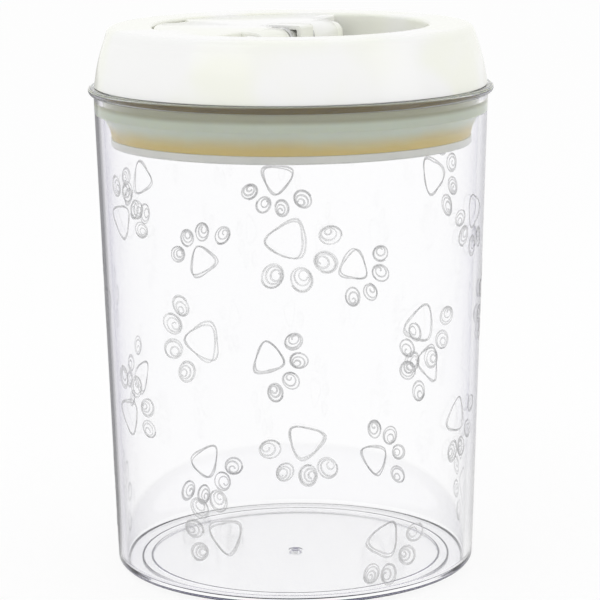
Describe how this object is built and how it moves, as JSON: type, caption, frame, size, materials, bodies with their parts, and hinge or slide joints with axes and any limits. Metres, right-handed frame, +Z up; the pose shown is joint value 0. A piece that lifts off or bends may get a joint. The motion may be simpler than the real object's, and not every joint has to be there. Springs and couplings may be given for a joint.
{
  "type": "airtight storage jar",
  "caption": "Clear tapered canister with a white lid; a flip lever in the lid lifts a pressure plate that squeezes a thick gasket outward to seal.",
  "frame": {"origin": "centre of the foot ring, on the surface the jar stands on", "axes": "+Z up along the jar's axis; the lever's hinge runs along X, the lever lies on the +Y side of it and the open half of the finger well is on the -Y side"},
  "size_m": [0.126, 0.126, 0.1713],
  "materials": {
    "clear_plastic": "clear, polished, moulded",
    "white_plastic": "gloss",
    "pale_plastic": "satin, slightly see-through",
    "silicone": "matt, see-through grey with an amber tint",
    "rubber": "matt black",
    "steel": "bright zinc plated"
  },
  "bodies": {
    "jar": {"jar_body": "clear_plastic"},
    "lid": {"lid_cover": "white_plastic", "lid_base": "white_plastic", "gasket": "silicone", "return_spring": "steel", "rod_seal": "rubber", "lid_screw_1": "steel", "lid_screw_2": "steel", "lid_screw_3": "steel", "lid_screw_4": "steel", "axle_bearing_left": "white_plastic", "axle_bearing_right": "white_plastic", "bearing_screw_1": "steel", "bearing_screw_2": "steel", "bearing_screw_3": "steel", "bearing_screw_4": "steel"},
    "lever": {"flip_lever": "white_plastic", "cam_axle": "steel"},
    "plate": {"pull_rod": "white_plastic", "pressure_plate": "pale_plastic", "plate_washer": "steel", "plate_screw": "steel", "plate_cap": "pale_plastic"}
  },
  "joints": [
    {"name": "lid_lift", "type": "slide", "parent": "jar", "child": "lid", "axis": [0, 0, 1], "range_m": [0, 0.06]},
    {"name": "lever_flip", "type": "hinge", "parent": "lid", "child": "lever", "pos_m": [0, 0, 0.1662], "axis": [1, 0, 0], "range_deg": [0, 90]},
    {"name": "plate_travel", "type": "slide", "parent": "lid", "child": "plate", "axis": [0, 0, 1], "range_m": [-0.00301, 0], "deforming": ["gasket", "return_spring"]}
  ],
  "couplings": [
    {"joint": "plate_travel", "follows": "lever_flip", "m_per_rad": -0.0019099}
  ]
}
